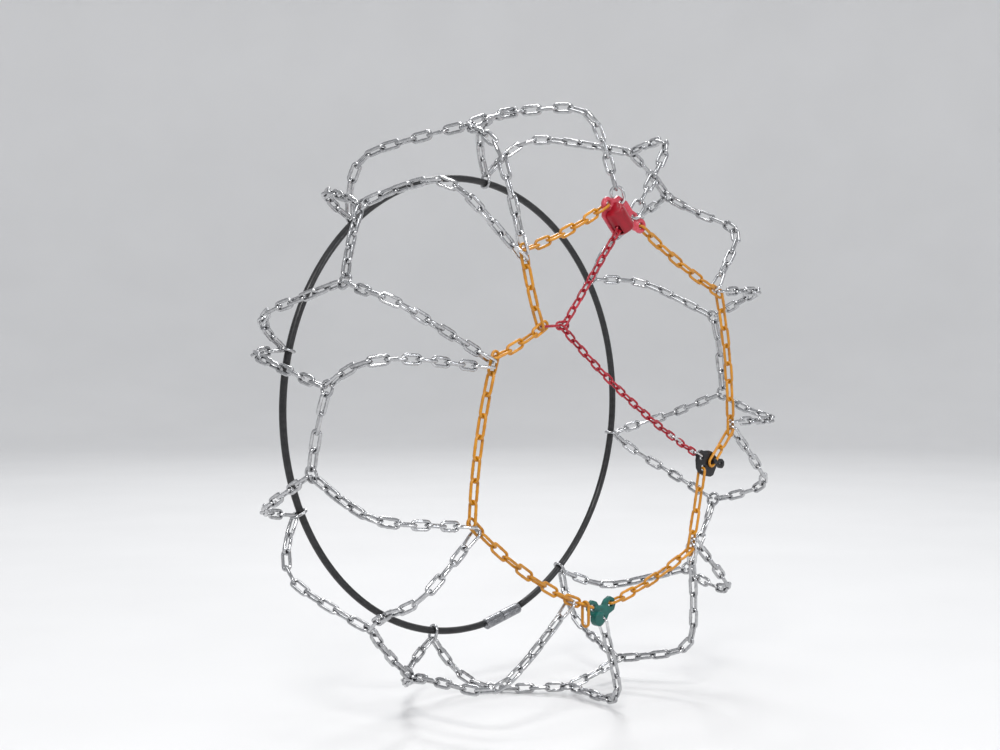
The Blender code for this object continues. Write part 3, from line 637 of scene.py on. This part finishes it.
FRONT_SEATS = {
    "d1a": on_piece(TENSIONER_CENTRE, TENSIONER_TILT, *UPPER_EYES[0]),
    "d1b": on_piece(TENSIONER_CENTRE, TENSIONER_TILT, *UPPER_EYES[1]),
    "d2a": corner_seat("side_run_01", 0.28), "d2b": corner_seat("side_run_01", 0.53),
    "d3a": corner_seat("side_run_02", 0.28), "d3b": corner_seat("side_run_02", 0.53),
    "d4a": corner_seat("side_run_04", 0.28), "d4b": corner_seat("side_run_04", 0.50),
    "d5a": on_piece(GREEN_HOOK_CENTRE, 0.0, *GREEN_LOW),
    "d5b": corner_seat("side_run_06", 0.52),
    "d6a": corner_seat("side_run_07", 0.28), "d6b": corner_seat("side_run_07", 0.53),
    "d7a": corner_seat("side_run_08", 0.28), "d7b": corner_seat("side_run_08", 0.53),
    "d8a": corner_seat("side_run_10", 0.28), "d8b": corner_seat("side_run_10", 0.50),
}
# Shackles: half width at the strand and at the seat, and how far those at the tensioner are turned.
BOW_HALF_TOP = 4.6 * MM
BOW_HALF_SEAT = 6.0 * MM
BOW_ROLL = -45.0
for ring, seat in FRONT_SEATS.items():
    angle = math.degrees(math.atan2(seat.x, seat.z))
    radius = math.hypot(seat.x, seat.z)
    points, normals = tyre_path(ring, OUTER_MERIDIAN, angle, radius, seat.y, BOWS[ring])
    total = path_length(points)
    last_pitch = SHORT_SHACKLE if ring == "d1a" else SHACKLE_PITCH
    at_eye = ring in ("d1a", "d1b")
    count = round((total - LINK_IN_RING - last_pitch) / NET_LOOK[0])
    rest = total - RING_INNER - last_pitch
    nodes, between = spaced(points, normals, [RING_INNER] + [rest / count] * count + [last_pitch])
    nodes[-1] = seat.copy()
    between[-1] = Vector((0, -1, 0))
    rolls = twist(count + 1, 0.0, BOW_ROLL if at_eye else 0.0)
    sides = width_sides(nodes, between, rolls)
    strand = Loops()
    add_links(strand, nodes[:-1], between, rolls, NET_LOOK[1], NET_LOOK[2])
    strand.make("links_" + ring, STEEL, "strand_" + ring, "galvanised_steel", "front_" + ring)
    bow = Loops()
    t = (nodes[-1] - nodes[-2]).normalized()
    narrow = BOW_HALF_SEAT if at_eye else BOW_HALF_TOP
    top = nodes[-2] - t * SHACKLE_WIRE
    bow.link(top, seat, sides[-1], narrow, BOW_HALF_SEAT, SHACKLE_WIRE, False, 10, 10)
    bow.make("shackle_" + ring, BRIGHT_STEEL, "strand_" + ring, "galvanised_steel")

ring_names = list(RINGS)
for k in range(8):
    first = ring_names[(2 * k + 1) % 16]
    second = ring_names[(2 * k + 2) % 16]
    a0, y0 = RINGS[first]
    a1, y1 = RINGS[second]
    sweep = (a1 - a0) % 360
    reach = TREAD_RADIUS + STANDOFF
    points = [polar(a0 + sweep * i / 30, reach, (y0 + (y1 - y0) * i / 30) * MM) for i in range(31)]
    normals = [polar(a0 + sweep * i / 30, 1.0, 0.0) for i in range(31)]
    total = path_length(points)
    count = round((total - 2 * RING_RADIUS) / NET_LOOK[0])
    rest = total - 2 * RING_INNER
    nodes, between = spaced(points, normals, [RING_INNER] + [rest / count] * count)
    strand = Loops()
    add_links(strand, nodes, between, twist(count, 0.0, 0.0), NET_LOOK[1], NET_LOOK[2])
    node = "centre_" + first + "_" + second
    strand.make("links_" + node, STEEL, "chain_set", "galvanised_steel", node)
    for ring in (first, second):
        angle, y = RINGS[ring]
        loop = Loops()
        loop.ring(polar(angle, reach, y * MM), polar(angle, 1.0, 0.0), *RING_LOOK)
        loop.make("ring_" + ring, RING_STEEL, "chain_set", "galvanised_steel")

# ---- inner side ---------------------------------------------------------------------------------

CLASP_ANGLE = 166.0
HOOP_GAP = 13.6
HOOP_STEPS = 180
HOOP_WIRE = 3.8 * MM
hoop = Loops()
points, outward, radii = [], [], []
for k in range(HOOP_STEPS + 1):
    angle = CLASP_ANGLE + HOOP_GAP / 2 + (360 - HOOP_GAP) * k / HOOP_STEPS
    points.append(polar(angle, CABLE_RADIUS, CABLE_Y))
    outward.append(polar(angle, 1.0, 0.0))
    radii.append(HOOP_WIRE)
hoop.sweep(points, outward, Vector((0, 1, 0)), radii, [0.0] * len(points), 12, False)
hoop.make("hoop_sheath", SHEATH, "chain_set", "cable_sheath", "cable_hoop")

# Hooks of the hoop: how far they reach outwards, their wire and half their width inside and outside.
HOOK_TOP = 9.3 * MM
HOOK_WIRE = 1.7 * MM
HOOK_INNER_HALF = 5.6 * MM
HOOK_OUTER_HALF = 5.0 * MM
for k, angle in enumerate(REAR_ANGLES):
    eye = polar(angle, CABLE_RADIUS, CABLE_Y)
    out = polar(angle, 1.0, 0.0)
    hook = Loops()
    low = eye - out * HOOK_INNER_HALF
    high = eye + out * (HOOK_TOP + HOOK_WIRE)
    hook.link(low, high, Vector((0, 1, 0)), HOOK_INNER_HALF, HOOK_OUTER_HALF, HOOK_WIRE, True, 10, 10)
    hook.make("hoop_hook_%d" % (k + 1), RING_STEEL, "chain_set", "galvanised_steel")
    pair = Loops()
    for ring, lean in (("d%da" % (k + 1), -1), ("d%db" % (k + 1), 1)):
        seat_angle = angle + lean * math.degrees(HOOK_WIRE / CABLE_RADIUS)
        seat_radius = CABLE_RADIUS + HOOK_TOP
        points, normals = tyre_path(ring, INNER_MERIDIAN, seat_angle, seat_radius, CABLE_Y)
        total = path_length(points)
        count = round((total - LINK_IN_RING) / NET_LOOK[0])
        rest = total - RING_INNER
        nodes, between = spaced(points, normals, [RING_INNER] + [rest / count] * count)
        add_links(pair, nodes, between, twist(count, 0.0, 0.0), NET_LOOK[1], NET_LOOK[2])
    pair.make("links_rear_%d" % (k + 1), STEEL, "chain_set", "galvanised_steel", "rear_d%d" % (k + 1))

# ---- red tension chain --------------------------------------------------------------------------

tie_start = in_face(TIE_POINT)
tied = last_links[TIED_RUN]
tie_end = tied[1] - (tied[1] - tied[0]).normalized() * LINK_IN_LINK
tie_direction = (tie_end - tie_start).normalized()
TIE_EYE = TIE_LOOK[0]
tie_nodes = [tie_start, tie_start + tie_direction * TIE_EYE, tie_end]
tie = Loops()
add_links(tie, tie_nodes, [Vector((0, -1, 0))] * 2, twist(2, 90.0, 0.0), *TIE_LOOK[1:])
tie.make("links_tie", RED, "chain_set", "red_enamel", "tension_tie")
# The upper and the lower run hang in the first link of the tie, at these shares of its length.
UPPER_SHARE = 0.34
LOWER_SHARE = 0.66
upper_end = tie_start + tie_direction * TIE_EYE * UPPER_SHARE
lower_start = tie_start + tie_direction * TIE_EYE * LOWER_SHARE

# The upper run starts inside the barrel, behind its slot.
SLOT_MIDDLE = (4.2, -1.5)
SLOT_DEPTH = 6.4 * MM
upper_start = on_piece(COVER_CENTRE, COVER_TILT, *SLOT_MIDDLE, COVER_Y - SLOT_DEPTH)
points = bowed(upper_start, upper_end, Vector((0, 0, 0)))
length = path_length(points)
count = link_count(length, TENSION_LOOK[0], 90.0, 0.0)
off_face = [Vector((0, -1, 0))] * len(points)
nodes, normals = spaced(points, off_face, [0.0] + [length / count] * count)
upper = Loops()
add_links(upper, nodes, normals, twist(count, 90.0, 0.0), *TENSION_LOOK[1:])
upper.make("links_tension_upper", RED, "chain_set", "red_enamel", "tension_upper")

tab_seat = on_piece(BLACK_HOOK_CENTRE, BLACK_HOOK_TILT, *HOOK_TAB, HOOK_MIDDLE_Y)
leg = bowed(lower_start, tab_seat, Vector((0, 0, -10.0 * MM)))
leg_normals = [Vector((0, -1, 0))] * len(leg)
leg_length = path_length(leg)
IN_LINK = 3.7 * MM
END_INSET = 1.2 * MM
END_LINKS = 3
tab_at = leg_length - TAB_LOOK[0]
end_at = tab_at + IN_LINK - END_LINKS * TENSION_LOOK[0]
connector_at = end_at + IN_LINK - CONNECTOR_LOOK[0]
lower_length = connector_at + IN_LINK
lower_count = link_count(lower_length, TENSION_LOOK[0], 0.0, 90.0)
PLAIN = (BRIGHT_STEEL, "galvanised_steel")
# Name, distance along the leg, links, pitch, link sizes, first and last roll, material and slot.
LEG = (
    ("tension_lower", 0.0, lower_count, lower_length / lower_count, TENSION_LOOK, 0, 90, RED, "red_enamel"),
    ("tension_connector", connector_at, 1, CONNECTOR_LOOK[0], CONNECTOR_LOOK, 0, 0, *PLAIN),
    ("tension_end", end_at, END_LINKS, TENSION_LOOK[0], TENSION_LOOK, 90, 90, RED, "red_enamel"),
    ("hook_tab", tab_at, 1, TAB_LOOK[0], TAB_LOOK, 0, 0, *PLAIN),
)
for name, begin, count, pitch, look, first_roll, last_roll, mat, slot in LEG:
    nodes, normals = spaced(leg, leg_normals, [begin] + [pitch] * count)
    t = (nodes[1] - nodes[0]).normalized()
    if name != "tension_lower":
        nodes[0] = nodes[0] + t * END_INSET
        nodes[-1] = nodes[-1] - t * (look[2] if name == "hook_tab" else END_INSET)
    part = Loops()
    add_links(part, nodes, normals, twist(count, first_roll, last_roll), *look[1:])
    part.make("links_" + name, mat, "tension_leg", slot, name)

# The spare link hangs on the front wire of the first link beside the green hook.
SPARE_SHARE = 0.75
SPARE_LENGTH = 25.0 * MM
beside = green_left.lerp(last_links["side_run_06"][0], SPARE_SHARE)
spare_top = beside + Vector((0, -4.7 * MM, 3.1 * MM))
spare = Loops()
spare_end = spare_top - Vector((0, 0, SPARE_LENGTH))
spare.link(spare_top, spare_end, Vector((0, -1, 0)), SIDE_LOOK[1], SIDE_LOOK[1], SIDE_WIRE)
spare.make("link_spare", ORANGE, "spare_link", "orange_enamel", "spare_link")


# ---- tensioner, hooks and clasp -----------------------------------------------------------------


def place(obj, centre, tilt, y):
    obj.location = (centre[0] * MM, y, centre[1] * MM)
    obj.rotation_euler = (0, -math.radians(tilt), 0)
    return obj


def barrel_loop(half, depth, bands, rise):
    """Half an oval as (z, depth) points whose surface swells into lengthwise bands."""
    loop = []
    steps = bands * 6
    for k in range(steps + 1):
        a = math.pi * k / steps
        swell = abs(math.sin(a * bands)) ** 0.6 * rise
        loop.append(((half - rise + swell) * math.cos(a), (depth - rise + swell) * math.sin(a)))
    return loop


def raw_object(name, verts, faces):
    mesh = bpy.data.meshes.new(name)
    mesh.from_pydata([tuple(v) for v in verts], [], faces)
    bm = bmesh.new()
    bm.from_mesh(mesh)
    bmesh.ops.recalc_face_normals(bm, faces=bm.faces)
    bm.to_mesh(mesh)
    bm.free()
    obj = bpy.data.objects.new(name, mesh)
    bpy.context.scene.collection.objects.link(obj)
    return obj


def apply_modifiers(obj):
    """Bakes the modifiers into the mesh and removes them."""
    bpy.context.view_layer.update()
    graph = bpy.context.evaluated_depsgraph_get()
    mesh = bpy.data.meshes.new_from_object(obj.evaluated_get(graph))
    obj.modifiers.clear()
    obj.data = mesh


def cut(obj, other):
    modifier = obj.modifiers.new("Cut", "BOOLEAN")
    modifier.operation = "DIFFERENCE"
    modifier.solver = "EXACT"
    modifier.object = other
    other.hide_render = True


# Barrel: a half-oval with soft lengthwise facets, rounded towards both ends. Sizes in mm.
BARREL_HALF = 11.5
BARREL_DEPTH = 15.0
BARREL_WALL = 2.2
BARREL_FACETS = 3
FACET_RISE = 0.7
HOLLOW_END = 12.0
outer = []
for x, shrink in ((-14.0, 0.80), (-13.8, 0.88), (-13.1, 0.945), (-12.0, 0.985), (-10.0, 1.0), (0.0, 1.0),
                  (9.0, 1.0), (11.5, 0.975), (12.9, 0.92), (13.7, 0.84), (14.0, 0.74)):
    loop = barrel_loop(BARREL_HALF, BARREL_DEPTH, BARREL_FACETS, FACET_RISE)
    outer.append((x, [(z * shrink, d * shrink) for z, d in loop]))
verts = []
faces = []
count = len(outer[0][1])
for x, loop in outer:
    verts += [Vector((x * MM, -d * MM, z * MM)) for z, d in loop]
for row in range(len(outer) - 1):
    for k in range(count):
        m = (k + 1) % count
        a, b = row * count, (row + 1) * count
        faces.append((a + k, a + m, b + m, b + k))
faces.append(tuple(range(count)))
faces.append(tuple((len(outer) - 1) * count + k for k in reversed(range(count))))
barrel = raw_object("tensioner_barrel", verts, faces)


def along_x(name, loop, x0, x1):
    """A closed (z, depth) loop carried from x0 to x1, all in mm."""
    made = [Vector((x * MM, -d * MM, z * MM)) for x in (x0, x1) for z, d in loop]
    n = len(loop)
    sides = [(k, (k + 1) % n, (k + 1) % n + n, k + n) for k in range(n)]
    return raw_object(name, made, [tuple(range(n)), tuple(reversed(range(n, 2 * n)))] + sides)


inner_half = BARREL_HALF - BARREL_WALL
inside = barrel_loop(inner_half, BARREL_DEPTH - BARREL_WALL, BARREL_FACETS, 0.0)
inside = [(inner_half, -2.0)] + inside + [(-inner_half, -2.0)]
hollow = along_x("tensioner_hollow", inside, -HOLLOW_END, HOLLOW_END)
# The slot that the first red link comes out of.
slot = [(0.1, 5.2), (0.9, 3.6), (10.7, 3.6), (11.5, 5.2), (11.5, 7.2), (10.7, 8.8), (0.9, 8.8), (0.1, 7.2)]
count = len(slot)
mouth_verts = [Vector((x * MM, -d * MM, z * MM)) for z in (-13.5, -2.5) for x, d in slot]
mouth_faces = [tuple(range(count)), tuple(reversed(range(count, 2 * count)))]
mouth_faces += [(k, (k + 1) % count, (k + 1) % count + count, k + count) for k in range(count)]
mouth = raw_object("tensioner_mouth", mouth_verts, mouth_faces)
for piece in (barrel, hollow, mouth):
    place(piece, COVER_CENTRE, COVER_TILT, COVER_Y)
cut(barrel, hollow)
cut(barrel, mouth)
apply_modifiers(barrel)
for helper in (hollow, mouth):
    bpy.data.objects.remove(helper, do_unlink=True)


def finish_moulded(obj, mat, body, slot, *stands_for, angle=35.0):
    obj.data.materials.clear()
    obj.data.materials.append(mat)
    for polygon in obj.data.polygons:
        polygon.use_smooth = True
        polygon.material_index = 0
    obj.data.set_sharp_from_angle(angle=math.radians(angle))
    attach(obj, body)
    if stands_for:
        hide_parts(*stands_for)
    return obj


finish_moulded(barrel, RED_PLASTIC, "tensioner", "red_plastic", "tensioner_cover")


def loop_path(name, points, normal, wire, squash, mat, body, slot, sides=10):
    """A closed moulded lobe along flat points, its section wire wide and squash times as deep."""
    verts = []
    faces = []
    count = len(points)
    middle = sum(points, Vector()) / count
    for k in range(count):
        t = (points[(k + 1) % count] - points[k - 1]).normalized()
        out = t.cross(normal)
        if out.dot(points[k] - middle) < 0:
            out = -out
        for j in range(sides):
            a = 2 * math.pi * j / sides
            verts.append(points[k] + out * math.cos(a) * wire + normal * math.sin(a) * wire * squash)
    for k in range(count):
        n = (k + 1) % count
        for j in range(sides):
            m = (j + 1) % sides
            faces.append((k * sides + j, k * sides + m, n * sides + m, n * sides + j))
    obj = raw_object(name, verts, faces)
    return finish_moulded(obj, mat, body, slot, angle=180.0)


# Eyes of the tensioner: thick glossy lobes round each hole of the plate, in the lighter red of a painted
# highlight.
LOBE_STEPS = 24
LOBE_SQUASH = 1.25
face_normal = Vector((0, 1, 0))
for name, x, z, size, wire in (
    ("lobe_left", -EYE_X, 0.0, 5.5, 2.5), ("lobe_right", EYE_X, 0.0, 5.5, 2.5),
    ("lobe_upper_a", *UPPER_EYES[0], 4.6, 1.5), ("lobe_upper_b", *UPPER_EYES[1], 4.6, 1.5),
):
    ring_points = []
    for k in range(LOBE_STEPS):
        a = 2 * math.pi * k / LOBE_STEPS
        at = (x + size * math.cos(a), z + size * math.sin(a))
        ring_points.append(on_piece(TENSIONER_CENTRE, TENSIONER_TILT, *at))
    loop_path(name, ring_points, face_normal, wire * MM, LOBE_SQUASH, LIT_RED_PLASTIC, "tensioner", "red_plastic")


def dress(node, mat, width, segments=3):
    """Rounds the edges of a CAD node and gives it its material."""
    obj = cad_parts[node]
    weld = obj.modifiers.new("Weld", "WELD")
    weld.merge_threshold = 0.00001
    bevel = obj.modifiers.new("Bevel", "BEVEL")
    bevel.width = width
    bevel.segments = segments
    bevel.limit_method = "ANGLE"
    bevel.angle_limit = math.radians(40)
    bevel.use_clamp_overlap = True
    obj.data.materials.clear()
    obj.data.materials.append(mat)
    for polygon in obj.data.polygons:
        polygon.use_smooth = True
    return obj


# The plate takes the same lighter red, a painted highlight.
dress("tensioner_plate", LIT_RED_PLASTIC, 0.7 * MM)
dress("black_hook", BLACK_PLASTIC, 0.6 * MM)
dress("green_hook", GREEN_PLASTIC, 0.7 * MM)


def turned(name, centre, axis, profile, mat, body, slot, *stands_for, steps=32):
    """A closed profile of (distance along the axis, radius) in mm turned round the axis."""
    axis = axis.normalized()
    u = axis.orthogonal().normalized()
    v = axis.cross(u)
    verts = []
    faces = []
    rows = []
    for along, radius in profile:
        if radius == 0:
            rows.append([len(verts)])
            verts.append(centre + axis * along * MM)
            continue
        rows.append(list(range(len(verts), len(verts) + steps)))
        for k in range(steps):
            a = 2 * math.pi * k / steps
            verts.append(centre + axis * along * MM + (u * math.cos(a) + v * math.sin(a)) * radius * MM)
    for one, two in zip(rows, rows[1:]):
        for k in range(steps):
            m = (k + 1) % steps
            if len(one) == 1:
                faces.append((one[0], two[m], two[k]))
            elif len(two) == 1:
                faces.append((one[k], one[m], two[0]))
            else:
                faces.append((one[k], one[m], two[m], two[k]))
    return finish_moulded(raw_object(name, verts, faces), mat, body, slot, *stands_for)


clasp_centre = polar(CLASP_ANGLE, CABLE_RADIUS, CABLE_Y)
along = polar(CLASP_ANGLE + 90, 1.0, 0.0)


def grooves(first):
    """Six grip grooves of a turned profile, starting first mm along the axis."""
    made = []
    for at in [first + k * 2.4 for k in range(6)]:
        made += [(at, 6.1), (at + 0.3, 5.6), (at + 0.9, 5.6), (at + 1.2, 6.1)]
    return made


socket = [(-27, 0), (-27, 4.6), (-26.4, 5.4), (-25.5, 6.0)] + grooves(-22.0)
socket += [(-0.6, 6.2), (0.6, 6.0), (1.0, 5.6), (1.0, 3.3), (-12.5, 3.3), (-12.5, 0)]
plug = [(-11.0, 0), (-11.0, 2.4), (-10.4, 2.9), (1.4, 2.9), (1.4, 5.0), (1.8, 5.9), (2.4, 6.2)]
plug += grooves(8.0)
plug += [(25.5, 6.1), (26.4, 5.4), (27, 4.6), (27, 0)]
for name, profile in (("cable_clasp_socket", socket), ("cable_clasp_plug", plug)):
    look = (TURNED_STEEL, "chain_set", "galvanised_steel")
    turned("turned_" + name, clasp_centre, along, profile, *look, name)


# ---- studio -------------------------------------------------------------------------------------


FLOOR_RADIUS = 4.0
COVE_RADIUS = 1.6
WALL_TOP = 4.5


def studio():
    """A pale floor that curves up into a plain wall all round, open above."""
    floor_z = cad_box[0].z - 0.0004
    m = Nodes("studio_paper")
    m.set(Roughness=0.55)
    paper = m.ramp(m.noise(3.0, 2.0), ((0.3, (0.765, 0.765, 0.77)), (0.7, (0.79, 0.79, 0.795))))
    m.link(paper, m.shader.inputs["Base Color"])
    rows = [(0.02, 0.0), (1.0, 0.0), (2.5, 0.0), (FLOOR_RADIUS, 0.0)]
    for degrees in range(10, 91, 10):
        a = math.radians(degrees)
        rows.append((FLOOR_RADIUS + COVE_RADIUS * math.sin(a), COVE_RADIUS - COVE_RADIUS * math.cos(a)))
    rows.append((FLOOR_RADIUS + COVE_RADIUS, WALL_TOP))
    verts = [Vector((0, 0, floor_z))]
    faces = []
    steps = 72
    for radius, height in rows:
        for k in range(steps):
            a = 2 * math.pi * k / steps
            verts.append(Vector((radius * math.cos(a), radius * math.sin(a), floor_z + height)))
    for k in range(steps):
        faces.append((0, 1 + k, 1 + (k + 1) % steps))
    for r in range(len(rows) - 1):
        for k in range(steps):
            n = (k + 1) % steps
            a, b = 1 + r * steps, 1 + (r + 1) * steps
            faces.append((a + k, b + k, b + n, a + n))
    obj = raw_object("studio_cove", verts, faces)
    obj.data.materials.append(m.mat)
    for polygon in obj.data.polygons:
        polygon.use_smooth = True


studio()


# Name, place, side, power and colour of each square lamp; all point at the wheel axis.
LAMPS = (
    ("key", (-2.2, -1.8, 2.4), 0.8, 62.0, (1.0, 0.985, 0.96)),
    ("fill", (1.2, -3.0, 1.0), 0.6, 20.0, (0.95, 0.97, 1.0)),
    ("rim", (1.8, 2.0, 2.4), 0.8, 34.0, (1.0, 1.0, 1.0)),
    ("top", (0, 0, 3.6), 1.6, 38.0, (1.0, 1.0, 1.0)),
)
for name, at, size, power, colour in LAMPS:
    light = bpy.data.lights.new(name, "AREA")
    light.shape = "SQUARE"
    light.size = size
    light.energy = power
    light.color = colour
    lamp = bpy.data.objects.new(name, light)
    lamp.location = at
    lamp.rotation_mode = "QUATERNION"
    lamp.rotation_quaternion = (-Vector(at)).to_track_quat("-Z", "Y")
    bpy.context.scene.collection.objects.link(lamp)

world = bpy.data.worlds.new("studio")
world.use_nodes = True
world.node_tree.nodes["Background"].inputs["Color"].default_value = (0.92, 0.94, 0.97, 1.0)
world.node_tree.nodes["Background"].inputs["Strength"].default_value = 0.62
bpy.context.scene.world = world
bpy.context.scene.view_settings.view_transform = "Standard"

# ---- camera -------------------------------------------------------------------------------------

azimuth = -0.79926
elevation = 0.04668
reach = 1.8
back = Vector((
    math.sin(azimuth) * math.cos(elevation),
    -math.cos(azimuth) * math.cos(elevation),
    math.sin(elevation),
))
lens = bpy.data.cameras.new("camera")
lens.sensor_width = 36.0
lens.lens = 61.68
lens.shift_x = -0.0294
lens.shift_y = 0.0333
camera = bpy.data.objects.new("camera", lens)
camera.location = back * reach
camera.rotation_mode = "QUATERNION"
camera.rotation_quaternion = (-back).to_track_quat("-Z", "Y")
bpy.context.scene.collection.objects.link(camera)
bpy.context.scene.camera = camera

bpy.context.view_layer.update()
